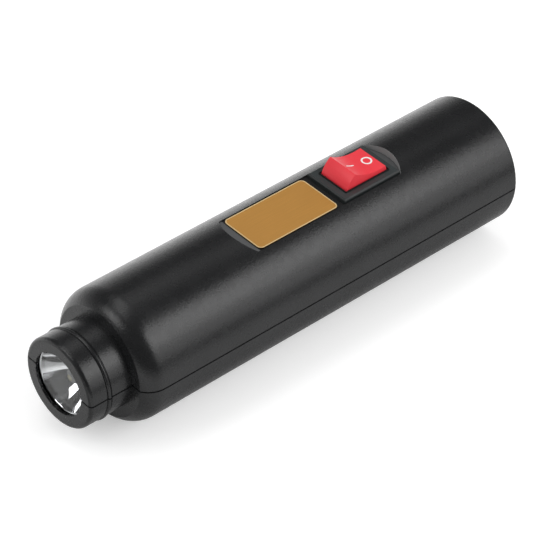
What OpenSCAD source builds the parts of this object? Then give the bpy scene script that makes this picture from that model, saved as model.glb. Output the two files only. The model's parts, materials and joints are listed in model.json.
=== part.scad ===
// Hand-held egg candler: a two-shell torch body with a narrow light nose, a flat on top
// for the name plate and the rocker switch, and three AA cells in a triangular nest.
// Millimetres. It lies with its nose to -X and its switch up, and the origin is on the
// surface that it lies on, under the middle of its length.

/* [Case] */
// Outer diameter of the barrel
body_d = 38; // [37:0.5:42]
// Length from the front lip to the tail
body_len = 151; // [148:0.5:165]
// Thickness of the moulded wall
wall = 2; // [1.8:0.1:2.2]
// Height of the seam between the shells above the barrel's axis
seam_rise = 0.7; // [0:0.1:1.2]
// Width of the open line along the seam
seam_w = 0.45; // [0.3:0.05:0.6]
// Depth of the open line along the seam
seam_depth = 0.5; // [0.3:0.05:0.7]
// Rounding of the tail edge
tail_round = 0.8; // [0.4:0.1:1.6]
// Height of the lower shell's locating lip
lip_h = 0.9; // [0.6:0.1:1.2]
// Thickness of the lower shell's locating lip
lip_t = 0.8; // [0.6:0.1:0.9]
// Clearance round pieces that are dropped into a seat
fit_gap = 0.2; // [0.1:0.05:0.3]
// Width of the flat along the underside, which keeps it from rolling
rest_w = 7; // [6:0.5:8]

/* [Nose] */
// Diameter of the nose and neck
nose_d = 25.8; // [25.4:0.1:27]
// Distance from the front lip to where the shoulder's round would start
neck_len = 12.5; // [12:0.1:15]
// Radius of the shoulder between neck and barrel
shoulder_r = 7; // [6:0.1:8]
// Distance from the front lip to the flat face round the foot of the neck
step_x = 13.7; // [13.2:0.1:14.4]
// Rounding of the nose's front edge
nose_round = 1.1; // [0.5:0.1:1.5]
// Distance from the front lip to the middle of the raised bead
bead_x = 6.3; // [4:0.1:9]
// Radius of the bead's round section
bead_r = 0.6; // [0.4:0.05:0.8]
// Height of the bead above the nose
bead_rise = 0.35; // [0.2:0.05:0.5]
// Width of the crease on either side of the bead
crease_w = 0.25; // [0.15:0.05:0.4]
// Depth of the crease on either side of the bead
crease_depth = 0.2; // [0.1:0.05:0.2]
// Diameter of the opening that the egg is held against
opening_d = 18; // [16:0.1:18.6]
// Thickness of the lip in front of the lens
front_lip = 0.8; // [0.8:0.1:1.6]

/* [Light] */
// Diameter of the lens
lens_d = 20.4; // [20:0.1:20.6]
// Thickness of the lens
lens_t = 1.5; // [1:0.1:2]
// Depth of the reflector
reflector_depth = 8.6; // [8:0.1:9]
// Wall of the reflector
reflector_wall = 0.8; // [0.6:0.1:1]
// Thickness of the light board
board_t = 1.6; // [1:0.1:2]
// Diameter of the emitter's dome
led_d = 5; // [4:0.1:5.6]
// Thickness of the rib behind the light board
rib_t = 1.5; // [1:0.1:2]
// Width of the ring seat that the rib leaves
rib_seat = 2.4; // [1.5:0.1:3]

/* [Top flat] */
// Depth of the flat below the crown of the barrel
flat_depth = 2.1; // [1.8:0.1:2.4]
// Width of the flat
flat_w = 15.5; // [15.2:0.1:17]
// Distance from the front lip to the flat
flat_x = 58; // [50:0.5:64]
// Length of the flat
flat_len = 58.4; // [58:0.1:62]
// Plan radius of the flat's two ends
flat_end_r = 12; // [9:0.5:16]
// Thickness of the moulding under the flat
floor_t = 1.6; // [1.2:0.1:2]

/* [Name plate] */
// Length of the name plate
plate_len = 28.8; // [20:0.1:29]
// Width of the name plate
plate_w = 14.6; // [12:0.1:14.8]
// Thickness of the name plate
plate_t = 0.4; // [0.2:0.1:0.8]
// Corner radius of the name plate
plate_corner = 1.5; // [0.5:0.1:3]
// Distance from the flat's front end to the name plate
plate_inset = 3.9; // [3.6:0.1:4.5]

/* [Switch] */
// Length of the switch bezel
bezel_len = 20.9; // [20.6:0.1:21.4]
// Width of the switch bezel
bezel_w = 14.7; // [14.2:0.1:14.9]
// Thickness of the switch bezel
bezel_t = 1.4; // [1:0.1:2]
// Chamfer of the bezel's upper edges
bezel_edge = 0.4; // [0.2:0.1:0.8]
// Distance from the flat's rear end to the middle of the switch
switch_inset = 13.2; // [13:0.1:13.6]
// Length of the switch body under the bezel
housing_len = 18.6; // [18.4:0.1:19]
// Width of the switch body under the bezel
housing_w = 12.8; // [12.6:0.1:13.2]
// Depth of the switch body under the bezel
housing_depth = 10.5; // [10.5:0.1:12]
// Thickness of the switch body's floor
housing_floor = 1.2; // [1:0.1:1.4]
// Width of the rocker
rocker_w = 9.8; // [9.4:0.1:10]
// Radius of the rocker's end faces about its pivot
rocker_r = 7.75; // [7.4:0.05:7.9]
// Angle from the rocker's middle to each top edge
rocker_span = 50.8; // [46:0.1:54]
// Depth of the hollow in the rocker's top
rocker_dish = 1.1; // [0.6:0.1:1.4]
// Angle of the rocker either side of level
rocker_tilt = 13; // [9:0.5:14]
// Depth of the rocker's pivot below the bezel's top
pivot_drop = 1.7; // [1.5:0.1:2.4]
// Clearance round the rocker in the bezel
rocker_gap = 0.25; // [0.2:0.05:0.3]
// Diameter of the rocker's pivot pins
pivot_d = 2.4; // [2:0.1:2.8]
// Running clearance of the pivot pins
pivot_gap = 0.05; // [0.03:0.01:0.08]
// Angle of the contact lever either side of level
lever_tilt = 6; // [5:0.5:6]
// Length of the terminal blades under the switch body
blade_len = 7.5; // [5:0.5:9]

/* [Cells] */
// Diameter of a cell
cell_d = 14.5; // [13.5:0.1:14.5]
// Length of a cell with its button
cell_len = 50.5; // [49.2:0.1:50.5]
// Gap between the cells
cell_gap = 0.1; // [0.05:0.05:0.2]
// Gap between the lower cell and the battery door
cell_lift = 0.32; // [0.3:0.02:0.5]
// Length of a contact spring with the cell in place
spring_len = 5.5; // [4.5:0.1:6]
// Wire diameter of a contact spring
spring_wire = 0.7; // [0.5:0.05:0.8]
// Thickness of a contact plate
contact_t = 0.4; // [0.3:0.1:0.6]
// Thickness of a contact carrier
carrier_t = 2; // [1.6:0.1:2.4]

/* [Battery door] */
// Width of the door's plug, which the cells pass
door_w = 15.2; // [15:0.1:16]
// Width of the ledge that the door's rim rests on
door_ledge = 1.1; // [0.8:0.1:1.4]
// Clearance round the door
door_gap = 0.2; // [0.15:0.05:0.3]
// Depth of the door's face below the barrel
door_sink = 0.1; // [0.05:0.05:0.2]

/* [Screws] */
// Shank diameter of a case screw
screw_d = 2.6; // [2.4:0.1:2.8]
// Head diameter of a case screw
screw_head_d = 5; // [4.6:0.1:5.2]
// Head height of a case screw
screw_head_h = 1.8; // [1.4:0.1:2]
// Length of a case screw under its head
screw_len = 16; // [14:0.5:17]
// Distance of the screws from the middle plane
screw_y = 9; // [8.5:0.1:9.5]
// Distance from the tail to the rear screws
screw_tail = 20; // [15:0.5:24]

/* [Hidden] */
$fn = 96;

// Case
body_r = body_d / 2;
inner_r = body_r - wall;
rest_h = sqrt(body_r * body_r - rest_w * rest_w / 4);
nose_r = nose_d / 2;
crease_half = bead_r + crease_w;
shoulder_x = neck_len + shoulder_r;
shoulder_core_r = body_r - shoulder_r;
hollow_x = step_x + shoulder_r;
past = 1;

// Light stack, front to back
lens_bore_r = lens_d / 2 + fit_gap;
reflector_x = front_lip + lens_t;
board_x = reflector_x + reflector_depth;
rib_x = board_x + board_t;
cavity_x = rib_x + rib_t;
flange_w = 1;
mouth_r = lens_d / 2 - flange_w;
flange_t = 1.2;
throat_r = led_d / 2 + 0.6;
led_flange_r = led_d / 2 + 0.4;
led_flange_t = 0.8;
throat_len = 0.6;
bowl_steps = 10;

// Screws and their columns
column_d = screw_head_d + 2 * fit_gap + 2.6;
nut_column_d = screw_d + 3.4;
screw_front_x = shoulder_x + 0.5;
screw_rear_x = body_len - screw_tail;
screw_xs = [screw_front_x, screw_rear_x];
seat_z = seam_rise - screw_len / 2 - 0.7;
pilot_gap = 0.04;
shank_gap = 0.2;
recess_w = 0.8;
recess_l = 3;
recess_h = 0.9;

// Battery bay, front to back
contact_play = 0.05;
front_carrier_x = screw_front_x + column_d / 2 + 0.6;
bay_x = front_carrier_x + carrier_t;
front_face_x = bay_x + contact_t;
rear_face_x = front_face_x + cell_len + spring_len + 2 * contact_play;
rear_carrier_x = rear_face_x + contact_t;
carrier_r = inner_r - fit_gap;
carrier_rib_r = inner_r - 2.5;
nest_room = inner_r - cell_lift - cell_gap;
cell_r = min(cell_d / 2, nest_room / (1 + 2 / sqrt(3)));
pitch = 2 * cell_r + cell_gap;
nest_z = pitch / sqrt(3) + cell_r + cell_lift - inner_r;
left_yz = [-pitch / 2, nest_z + pitch / sqrt(12)];
right_yz = [pitch / 2, left_yz[1]];
lower_yz = [0, nest_z - pitch / sqrt(3)];
nub_d = 5.5;
nub_len = 1;
plate_r = 0.63 * cell_r;
link_w = 1.3 * plate_r;
spring_r = 0.55 * cell_r;
spring_tip_r = 0.33 * cell_r;
spring_turns = 4;
tab_d = 1.2;
tab_proud = 0.8;
tab_reach = carrier_t + tab_proud;
lead_notch_w = 3.4;
lead_notch_z = 10.6;
cradle_t = 1.6;
cradle_gap = 0.2;
cradle_count = 3;

// Battery door
ledge_r = inner_r + wall / 2;
door_x0 = front_face_x + 0.5;
door_x1 = rear_face_x - 0.5;
scoop_r = 9;
scoop_depth = 0.6;

// Top flat, plate and switch
flat_h = body_r - flat_depth;
under_h = flat_h - floor_t;
switch_x = flat_x + flat_len - switch_inset;
bezel_h = flat_h + bezel_t;
pivot_z = bezel_h - pivot_drop;
mouth_len = 2 * (rocker_r + rocker_gap);
mouth_w = rocker_w + 2 * rocker_gap;
housing_z = flat_h - housing_depth;
wing_l = 0.6;
wing_h = 3;
wing_w = 5;

// Rocker, measured from its pivot
top_half = rocker_r * sin(rocker_span);
top_h = rocker_r * cos(rocker_span);
dish_r = (top_half * top_half + rocker_dish * rocker_dish) / (2 * rocker_dish);
skirt_h = 1.8;
skin_t = 1.3;
hollow_top = 2.2;
tube_d = 4.4;
tube_end = 4;
plunger_d = 2.5;
plunger_gap = 0.1;
plunger_top = 1.5;
tip_r = plunger_d / 2;
spring_top = 1.5;
pin_len = (housing_w - mouth_w) / 2 - 0.1;

// Contact lever and terminals, measured from the rocker's pivot
lever_t = 0.7;
lever_len = 9.4;
lever_w = 3.6;
lever_boss_r = 0.8;
lever_drop = flat_h + bezel_t - pivot_drop - housing_z - housing_floor - lever_boss_r - 0.4;
tip_gap = 0.2;
tip_drop = lever_drop - lever_t - tip_gap - tip_r;
blade_w = 4.75;
blade_t = 0.8;
blade_gap = 0.05;
side_x = 3.9;
contact_gap = 0.1;
blade_end = pivot_z - housing_z + blade_len;

// Leads: thickness, pads on the light board, bends, and routes as points from the front lip
lead_r = 0.7;
lead_bend = 3.8;
pad_z = 0.3 * lens_d;
pad_run = 1.6;
lead_top = under_h - 2.5;
blade_z = pivot_z - blade_end + 3;
front_tab_x = front_carrier_x - tab_proud;
rear_tab_x = rear_carrier_x + tab_reach;
side_blade_x = switch_x + side_x;
return_route = [[switch_x - blade_t / 2, 0, blade_z], [switch_x - lead_bend, 0, blade_z],
                [rear_tab_x + 2 * lead_bend, 0, blade_z + lead_r / 2],
                [rear_tab_x + lead_bend, 0, lead_top / 2],
                [rear_tab_x + lead_bend / 3, 0, lead_top - lead_bend / 2],
                [rear_carrier_x, 0, lead_top - lead_r / 3], [bay_x + lead_bend, 0, lead_top],
                [front_carrier_x, 0, lead_top - lead_r], [shoulder_x, 0, (lead_top + pad_z) / 2],
                [rib_x + 2 * pad_run, 0, pad_z + lead_r / 3], [rib_x + pad_run, 0, pad_z],
                [rib_x, 0, pad_z]];
front_route = [[front_tab_x, 0, lower_yz[1]], [front_tab_x - 0.7 * lead_bend, 0, lower_yz[1]],
               [shoulder_x - lead_bend / 3, 0, (lower_yz[1] - pad_z) / 2],
               [rib_x + 2 * pad_run, 0, -pad_z - lead_r / 3], [rib_x + pad_run, 0, -pad_z],
               [rib_x, 0, -pad_z]];
rear_route = [[rear_tab_x, left_yz[0], left_yz[1]], [rear_tab_x + lead_bend, left_yz[0], left_yz[1]],
              [rear_tab_x + 2 * lead_bend, left_yz[0], (left_yz[1] + blade_z) / 2],
              [switch_x - lead_bend, -1.4 * blade_w, blade_z + lead_r / 2],
              [switch_x + lead_bend / 2, -1.2 * blade_w, blade_z],
              [side_blade_x, -0.9 * blade_w, blade_z], [side_blade_x, -blade_w / 2, blade_z]];

// Shared shapes

// Moves a piece from the barrel's axis at the front lip to the part's own origin
module place() {
  translate([-body_len / 2, 0, rest_h]) children();
}

// Turns an outline, drawn as distance along the barrel and radius, about the barrel's axis
module spin() {
  rotate([0, 90, 0]) rotate_extrude() mirror([1, -1]) children();
}

// Extrudes an outline, drawn in Y and Z, along the barrel
module along(x, t) {
  translate([x, 0, 0]) rotate([90, 0, 90]) linear_extrude(t) children();
}

// Extrudes an outline, drawn in X and Z, across the barrel
module across(w) {
  rotate([90, 0, 0]) translate([0, 0, -w / 2]) linear_extrude(w) children();
}

// Round bar along the barrel
module bar(x, r, t) {
  translate([x, 0, 0]) rotate([0, 90, 0]) cylinder(r = r, h = t);
}

// What rounding takes off a corner that points to +X and +Y
module corner_waste(r) {
  difference() {
    square(r + past);
    circle(r = r);
  }
}

// Rectangle with round corners, centred
module round_rect(l, w, r) {
  square([l - 2 * r, w], center = true);
  square([l, w - 2 * r], center = true);
  for (i = [-1, 1], j = [-1, 1])
    translate([i * (l / 2 - r), j * (w / 2 - r)]) circle(r = r, $fn = 32);
}

// Tube of the given radius through a list of points
module tube(points, r, sides) {
  last = len(points) - 1;
  rings = [for (i = [0:last]) each tube_ring(points[i], tube_course(points, i), r, sides)];
  skin = [for (i = [0:last - 1], j = [0:sides - 1], half = [0, 1])
            let (a = i * sides + j, b = i * sides + (j + 1) % sides)
            half == 0 ? [a, b, b + sides] : [a, b + sides, a + sides]];
  ends = [[for (j = [sides - 1:-1:0]) j], [for (j = [0:sides - 1]) last * sides + j]];
  polyhedron(points = rings, faces = concat(skin, ends), convexity = 8);
}

function unit(v) = v / norm(v);

function rev(list) = [for (i = [len(list) - 1:-1:0]) list[i]];

function tube_course(points, i) = unit(points[min(i + 1, len(points) - 1)] - points[max(i - 1, 0)]);

function tube_ring(p, course, r, sides) =
  let (side = unit(cross(course, abs(course[1]) < 0.9 ? [0, 1, 0] : [1, 0, 0])), up = cross(side, course))
  [for (j = [0:sides - 1]) p + r * (cos(360 * j / sides) * side + sin(360 * j / sides) * up)];

// Points of a coil along X that narrows from one radius to another
function coil(x, yz, length, r_start, r_end, turns) =
  [for (i = [0:8 * turns])
     let (t = i / (8 * turns), r = r_start + (r_end - r_start) * t, a = 360 * turns * t)
     [x + length * t, yz[0] + r * cos(a), yz[1] + r * sin(a)]];

// Case

// Half outline of the case, moved in by an inset
module case_outline(inset) {
  difference() {
    union() {
      translate([inset, 0]) square([shoulder_x - inset, nose_r - inset]);
      intersection() {
        translate([shoulder_x, shoulder_core_r]) circle(r = shoulder_r - inset);
        translate([step_x + inset, 0]) square([2 * shoulder_r, body_r]);
      }
      translate([shoulder_x, 0]) square([body_len - inset - shoulder_x, body_r - inset]);
    }
    translate([nose_round, nose_r - nose_round]) mirror([1, 0]) corner_waste(nose_round - inset);
    translate([body_len - tail_round, body_r - tail_round]) corner_waste(max(tail_round - inset, 0.1));
  }
}

module case_outer() {
  spin() {
    difference() {
      case_outline(0);
      translate([bead_x - crease_half, nose_r - crease_depth])
        square([2 * crease_half, crease_depth + past]);
    }
    translate([bead_x, nose_r + bead_rise - bead_r]) circle(r = bead_r);
  }
}

// Hollow of both shells: front opening, light seat, rib and barrel with its two carrier ribs
module case_hollow() {
  spin() {
    translate([-past, 0]) square([front_lip + 2 * past, opening_d / 2]);
    translate([front_lip, 0]) square([rib_x - front_lip, lens_bore_r]);
    translate([front_lip, 0]) square([cavity_x - front_lip + past, lens_bore_r - rib_seat]);
    difference() {
      translate([cavity_x, 0]) square([body_len - wall - cavity_x, inner_r]);
      difference() {
        translate([cavity_x - past, 0]) square([hollow_x - cavity_x + past, body_r]);
        translate([hollow_x, shoulder_core_r]) circle(r = shoulder_r - wall);
        square([hollow_x + past, nose_r - wall]);
      }
      translate([front_carrier_x - rib_t, carrier_rib_r]) square([rib_t, inner_r]);
      translate([rear_carrier_x + carrier_t, carrier_rib_r]) square([rib_t, inner_r]);
    }
  }
}

module above_seam() {
  translate([-past, -body_d, seam_rise]) cube([body_len + 2 * past, 2 * body_d, body_d]);
}

module below_seam() {
  translate([-past, -body_d, seam_rise - body_d]) cube([body_len + 2 * past, 2 * body_d, body_d]);
}

// Open line that runs along the seam, over the nose and the front lip
module seam_line() {
  intersection() {
    difference() {
      spin() translate([-past, 0]) square([body_len + 2 * past, body_r + past]);
      spin() case_outline(seam_depth);
    }
    translate([-past, -body_d, seam_rise]) cube([body_len + 2 * past, 2 * body_d, seam_w]);
  }
}

// Locating lip inside the seam, and with a gap the rebate that takes it
module seam_lip(gap) {
  intersection() {
    spin() translate([bay_x - gap, inner_r - (gap > 0 ? past : 0)])
      square([body_len - 3 * wall - bay_x + 2 * gap, lip_t + gap + (gap > 0 ? past : 0)]);
    translate([0, -body_d, seam_rise - 0.2]) cube([body_len, 2 * body_d, lip_h + gap + 0.2]);
  }
}

// What is cut away below the flat that the part lies on
module below_rest() {
  translate([-past, -body_r, -rest_h - body_d]) cube([body_len + 2 * past, body_d, body_d]);
}

module at_screws() {
  for (x = screw_xs, side = [-1, 1]) translate([x, side * screw_y, 0]) children();
}

module flat_outline(grow) {
  mid = flat_len - 2 * flat_end_r;
  intersection() {
    union() {
      translate([flat_x + flat_end_r, -body_r]) square([mid, body_d]);
      for (x = [flat_end_r, flat_len - flat_end_r]) translate([flat_x + x, 0]) circle(r = flat_end_r + grow);
    }
    translate([flat_x - past - grow, -flat_w / 2 - grow])
      square([flat_len + 2 * (past + grow), flat_w + 2 * grow]);
  }
}

// Moulding that stands inside the upper shell: the floor of the flat and the screw columns
module upper_inside() {
  translate([0, 0, under_h]) linear_extrude(body_r) flat_outline(floor_t);
  at_screws() cylinder(d = nut_column_d, h = body_r);
}

module upper_shell() {
  color("#2b2c2e") place() difference() {
    intersection() {
      case_outer();
      above_seam();
    }
    difference() {
      case_hollow();
      upper_inside();
    }
    translate([0, 0, flat_h]) linear_extrude(body_r) flat_outline(0);
    translate([switch_x, 0, flat_h])
      cube([housing_len + 2 * fit_gap, housing_w + 2 * fit_gap, 3 * floor_t], center = true);
    at_screws() cylinder(r = screw_d / 2 + pilot_gap, h = seat_z + screw_len + past);
    seam_line();
    seam_lip(fit_gap);
  }
}

// Cross section of one cradle rib: it holds the two upper cells and leaves the lower one free
module cradle_outline() {
  difference() {
    translate([-inner_r - 0.5, -inner_r]) square([2 * inner_r + 1, inner_r + seam_rise - past]);
    for (yz = [left_yz, right_yz, lower_yz]) translate(yz) circle(r = cell_r + cradle_gap);
    translate([-door_w / 2, -body_r]) square([door_w, body_r + lower_yz[1]]);
    translate([-pitch / 2, lower_yz[1]]) square([pitch, -lower_yz[1]]);
  }
}

// Moulding that stands inside the lower shell: the screw columns and the cell cradles
module lower_inside() {
  at_screws() translate([0, 0, -body_r]) cylinder(d = column_d, h = body_d);
  for (i = [1:cradle_count])
    along(door_x0 + (door_x1 - door_x0) * i / (cradle_count + 1) - cradle_t / 2, cradle_t) cradle_outline();
}

// Stepped opening for the battery door
module door_opening() {
  translate([door_x0, -door_w / 2, -body_d]) cube([door_x1 - door_x0, door_w, body_d + lower_yz[1]]);
  difference() {
    translate([door_x0 - door_ledge, -door_w / 2 - door_ledge, -body_d])
      cube([door_x1 - door_x0 + 2 * door_ledge, door_w + 2 * door_ledge, body_d + lower_yz[1]]);
    bar(door_x0 - 2 * door_ledge, ledge_r, door_x1 - door_x0 + 4 * door_ledge);
  }
}

module lower_shell() {
  color("#2b2c2e") place() {
    difference() {
      intersection() {
        case_outer();
        below_seam();
      }
      difference() {
        case_hollow();
        lower_inside();
      }
      door_opening();
      below_rest();
      at_screws() {
        translate([0, 0, seat_z - body_d]) cylinder(d = screw_head_d + 2 * fit_gap, h = body_d);
        translate([0, 0, -body_d]) cylinder(d = screw_d + 2 * shank_gap, h = 2 * body_d);
      }
    }
    seam_lip(0);
  }
}

module battery_door() {
  rim = door_ledge - door_gap;
  color("#28292b") place() difference() {
    intersection() {
      bar(0, body_r - door_sink, body_len);
      union() {
        difference() {
          translate([door_x0 - rim, -door_w / 2 - rim, -body_d])
            cube([door_x1 - door_x0 + 2 * rim, door_w + 2 * rim, body_d + lower_yz[1]]);
          bar(0, ledge_r + door_gap, body_len);
        }
        translate([door_x0 + door_gap, -door_w / 2 + door_gap, -body_d])
          cube([door_x1 - door_x0 - 2 * door_gap, door_w - 2 * door_gap, body_d + lower_yz[1]]);
      }
    }
    bar(0, inner_r, body_len);
    translate([0, 0, door_sink]) below_rest();
    translate([door_x1 - scoop_r, 0, scoop_depth + door_sink - rest_h - scoop_r]) sphere(r = scoop_r);
  }
}

module case_screws() {
  color("silver") place() at_screws() translate([0, 0, seat_z]) {
    cylinder(d = screw_d, h = screw_len);
    difference() {
      translate([0, 0, -screw_head_h]) cylinder(d = screw_head_d, h = screw_head_h);
      for (a = [0, 90]) rotate(a) translate([-recess_l / 2, -recess_w / 2, -screw_head_h - past])
        cube([recess_l, recess_w, recess_h + past]);
    }
  }
}

// Light

module lens() {
  color("azure", 0.4) place() bar(front_lip, lens_d / 2, lens_t);
}

// Radius of the reflector's bowl at a share of its depth, from the throat to the mouth
function bowl_r(share) = sqrt(throat_r * throat_r + (mouth_r * mouth_r - throat_r * throat_r) * share);

module reflector() {
  bowl_depth = reflector_depth - throat_len;
  shares = [for (i = [0:bowl_steps]) i / bowl_steps];
  bowl = [for (s = shares) [reflector_x + bowl_depth * (1 - s), bowl_r(s)]];
  back_x = reflector_x + flange_t + reflector_wall / 2;
  back = [for (p = rev(bowl)) if (p[0] > back_x) p + [0, reflector_wall]];
  flange = [[reflector_x, lens_d / 2], [reflector_x + flange_t, lens_d / 2],
            [reflector_x + flange_t, back[0][1] + reflector_wall / 4]];
  color("gainsboro") place() spin()
    polygon(concat([[board_x, throat_r]], bowl, flange, back, [[board_x, throat_r + reflector_wall]]));
}

module led_emitter() {
  color("lightyellow") place() {
    bar(board_x - led_flange_t, led_flange_r, led_flange_t);
    intersection() {
      translate([board_x - led_flange_t, 0, 0]) sphere(d = led_d);
      bar(board_x - led_flange_t - led_d, led_d, led_d);
    }
  }
}

module led_board() {
  color("seagreen") place() bar(board_x, lens_d / 2, board_t);
}

module led_resistor() {
  color("dimgray") place() translate([rib_x, -0.9 * pad_z, -board_t / 2]) cube([0.6, 2 * board_t, board_t]);
}

// Name plate

module label_plate() {
  color("#b98d49") place()
    translate([flat_x + plate_inset + plate_len / 2, 0, flat_h])
      linear_extrude(plate_t) round_rect(plate_len, plate_w, plate_corner);
}

// Switch

// Plate with its upper edges chamfered, standing on z = 0
module bezel_plate() {
  intersection() {
    across(2 * bezel_w) chamfered(bezel_len);
    rotate(90) across(2 * bezel_len) chamfered(bezel_w);
  }
}

module chamfered(l) {
  polygon([[-l / 2, 0], [l / 2, 0], [l / 2, bezel_t - bezel_edge], [l / 2 - bezel_edge, bezel_t],
           [bezel_edge - l / 2, bezel_t], [-l / 2, bezel_t - bezel_edge]]);
}

// Snap wing that grips the moulding from below, at the front or rear of the switch body
module snap_wing() {
  across(wing_w)
    polygon([[0, 0], [wing_l, 0], [0, -wing_h]]);
}

module switch_housing() {
  color("#383b3b") place() translate([switch_x, 0, 0]) difference() {
    union() {
      translate([0, 0, flat_h]) bezel_plate();
      translate([-housing_len / 2, -housing_w / 2, housing_z])
        cube([housing_len, housing_w, housing_depth + 0.2]);
      for (turn = [0, 180])
        rotate(turn) translate([housing_len / 2, 0, under_h - fit_gap]) snap_wing();
    }
    translate([-mouth_len / 2, -mouth_w / 2, housing_z + housing_floor]) cube([mouth_len, mouth_w, body_r]);
    translate([0, 0, pivot_z]) rotate([90, 0, 0])
      cylinder(r = pivot_d / 2 + pivot_gap, h = housing_w, center = true);
    for (x = [0, side_x]) translate([x, 0, housing_z])
      cube([blade_t + 2 * blade_gap, blade_w + 2 * blade_gap, 4 * housing_floor], center = true);
  }
}

// Moves a piece to the rocker's pivot
module at_pivot() {
  translate([switch_x, 0, pivot_z]) children();
}

module rocker_outline() {
  difference() {
    circle(r = rocker_r);
    translate([0, top_h - rocker_dish + dish_r]) circle(r = dish_r, $fn = 192);
    translate([-body_r, -body_d - skirt_h]) square(body_d);
  }
}

module rocker() {
  color("#d8323f") place() at_pivot() rotate([0, rocker_tilt, 0]) difference() {
    union() {
      difference() {
        across(rocker_w) rocker_outline();
        translate([skin_t - rocker_r, skin_t - rocker_w / 2, -2 * rocker_r])
          cube([2 * (rocker_r - skin_t), rocker_w - 2 * skin_t, 2 * rocker_r + hollow_top]);
      }
      translate([0, 0, -tube_end]) cylinder(d = tube_d, h = tube_end + hollow_top + 0.2);
      for (side = [-1, 1]) translate([0, side * (mouth_w / 2 + pin_len / 2 - 0.4), 0])
        rotate([90, 0, 0]) cylinder(d = pivot_d, h = pin_len + 0.8, center = true);
    }
    translate([0, 0, -2 * rocker_r]) cylinder(r = tip_r + plunger_gap, h = 2 * rocker_r + spring_top);
  }
}

module rocker_plunger() {
  color("ivory") place() at_pivot() rotate([0, rocker_tilt, 0]) {
    translate([0, 0, -tip_drop]) sphere(r = tip_r);
    translate([0, 0, -tip_drop]) cylinder(r = tip_r, h = tip_drop - plunger_top);
  }
}

module plunger_spring() {
  wire = 0.3;
  length = spring_top + plunger_top - wire;
  turns = 4;
  steps = 8 * turns;
  r = tip_r - wire / 2;
  path = [for (i = [0:steps])
            [r * cos(45 * i), r * sin(45 * i), wire / 2 - plunger_top + length * i / steps]];
  color("silver") place() at_pivot() rotate([0, rocker_tilt, 0]) tube(path, wire / 2, 6);
}

module contact_lever() {
  color("goldenrod") place() at_pivot() translate([0, 0, -lever_drop]) rotate([0, -lever_tilt, 0]) {
    translate([-lever_len / 2, -lever_w / 2, 0]) cube([lever_len, lever_w, lever_t]);
    rotate([90, 0, 0]) cylinder(r = lever_boss_r, h = lever_w, center = true);
  }
}

// Terminal blade from a height above its end to the end, both measured from the pivot
module blade(x, top) {
  translate([x - blade_t / 2, -blade_w / 2, -blade_end]) cube([blade_t, blade_w, blade_end + top]);
}

module centre_terminal() {
  color("silver") place() at_pivot() difference() {
    blade(0, -lever_drop);
    translate([0, 0, -lever_drop]) rotate([90, 0, 0])
      cylinder(r = lever_boss_r + pivot_gap, h = 2 * blade_w, center = true);
  }
}

module side_terminal() {
  lever_end_drop = (side_x + blade_t) * tan(lever_tilt) + contact_gap;
  color("silver") place() at_pivot() blade(side_x, -lever_drop - lever_end_drop);
}

// Cells and contacts

// End wall of the bay, trimmed under the moulding at the given height
module carrier(x, top) {
  difference() {
    bar(x, carrier_r, carrier_t);
    translate([x - past, -body_r, top]) cube([carrier_t + 2 * past, body_d, body_r]);
    translate([x - past, -lead_notch_w / 2, lead_notch_z]) cube([carrier_t + 2 * past, lead_notch_w, body_r]);
  }
}

// Round hole for a contact's tab
module tab_hole(x, yz) {
  translate([0, yz[0], yz[1]]) bar(x - past, tab_d / 2 + fit_gap, carrier_t + 2 * past);
}

module front_carrier() {
  color("#d9d4c4") place() difference() {
    carrier(front_carrier_x, body_r);
    tab_hole(front_carrier_x, lower_yz);
  }
}

module rear_carrier() {
  color("#d9d4c4") place() difference() {
    carrier(rear_carrier_x, under_h - fit_gap);
    tab_hole(rear_carrier_x, left_yz);
  }
}

// A cell that points to the nose or to the tail, with its button on the contact's face
module cell(yz, to_nose) {
  can = cell_len - nub_len;
  middle = (front_face_x + rear_face_x) / 2;
  start = front_face_x + contact_play;
  translate([middle, yz[0], yz[1]]) mirror([to_nose ? 0 : 1, 0, 0]) translate([start - middle, 0, 0]) {
    bar(0, nub_d / 2, nub_len + 0.2);
    bar(nub_len, cell_r, can);
  }
}

module cell_left() {
  color("#c9a227") place() cell(left_yz, true);
}

module cell_right() {
  color("#c9a227") place() cell(right_yz, false);
}

module cell_lower() {
  color("#c9a227") place() cell(lower_yz, true);
}

// Plate that joins two cells, or serves one where both places are the same
module contact(x, a, b) {
  span = norm(b - a);
  along(x, contact_t) {
    for (yz = [a, b]) translate(yz) circle(r = plate_r);
    if (span > 0)
      translate(a) rotate(atan2(b[1] - a[1], b[0] - a[0])) translate([0, -link_w / 2]) square([span, link_w]);
  }
}

module front_link_plate() {
  color("lightgray") place() contact(bay_x, left_yz, right_yz);
}

module rear_link_plate() {
  color("lightgray") place() contact(rear_face_x, right_yz, lower_yz);
}

module front_single_plate() {
  color("lightgray") place() {
    contact(bay_x, lower_yz, lower_yz);
    translate([0, lower_yz[0], lower_yz[1]]) bar(bay_x - tab_reach, tab_d / 2, tab_reach + contact_t / 2);
  }
}

module rear_single_plate() {
  color("lightgray") place() {
    contact(rear_face_x, left_yz, left_yz);
    translate([0, left_yz[0], left_yz[1]])
      bar(rear_carrier_x - contact_t / 2, tab_d / 2, tab_reach + contact_t / 2);
  }
}

// Conical spring from a contact plate to the flat end of a cell
module contact_spring(yz, from_rear) {
  middle = (front_face_x + rear_face_x) / 2;
  inset = spring_wire / 2 + contact_play;
  start = front_face_x + inset - middle;
  path = coil(start, [0, 0], spring_len - 2 * inset, spring_r, spring_tip_r, spring_turns);
  color("silver") place() translate([middle, yz[0], yz[1]])
    mirror([from_rear ? 1 : 0, 0, 0]) tube(path, spring_wire / 2, 6);
}

module spring_left() {
  contact_spring(left_yz, true);
}

module spring_right() {
  contact_spring(right_yz, false);
}

module spring_lower() {
  contact_spring(lower_yz, true);
}

// Leads

module return_lead() {
  color("black") place() tube(return_route, lead_r, 8);
}

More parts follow.
